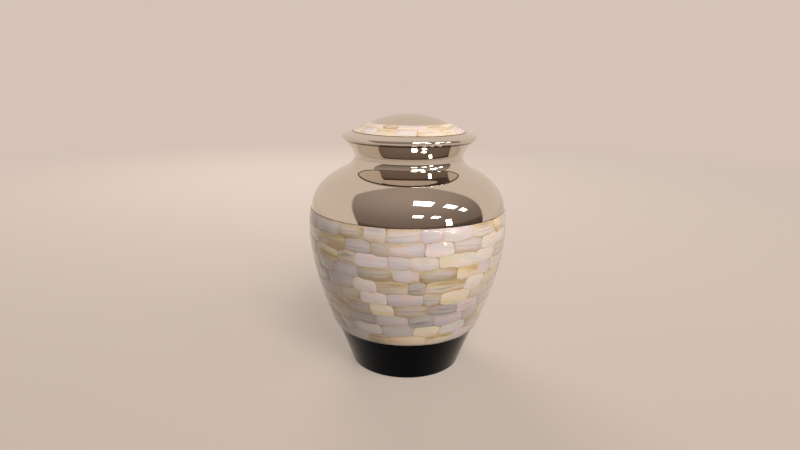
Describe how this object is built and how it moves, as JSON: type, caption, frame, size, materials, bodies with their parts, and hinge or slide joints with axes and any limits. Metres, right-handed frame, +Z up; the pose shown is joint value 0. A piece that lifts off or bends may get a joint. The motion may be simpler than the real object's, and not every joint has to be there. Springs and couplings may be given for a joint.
{
  "type": "cremation urn",
  "caption": "Turned metal urn with a pearl-tiled belly band, a mirror-polished shoulder and tapering foot, a flared neck and a lift-off domed lid with a pearl ring.",
  "frame": {"origin": "centre of the base, on the surface that the urn stands on", "axes": "+Z up along the axis that every piece is turned about; the pearl tiles make +X and +Y otherwise alike"},
  "size_m": [0.178, 0.178, 0.2292],
  "materials": {
    "plated_brass": "polished",
    "pearl": "gloss"
  },
  "bodies": {
    "root": {"jar": "plated_brass", "pearl_band": "pearl", "lid": "plated_brass", "lid_pearl_ring": "pearl"}
  },
  "joints": []
}
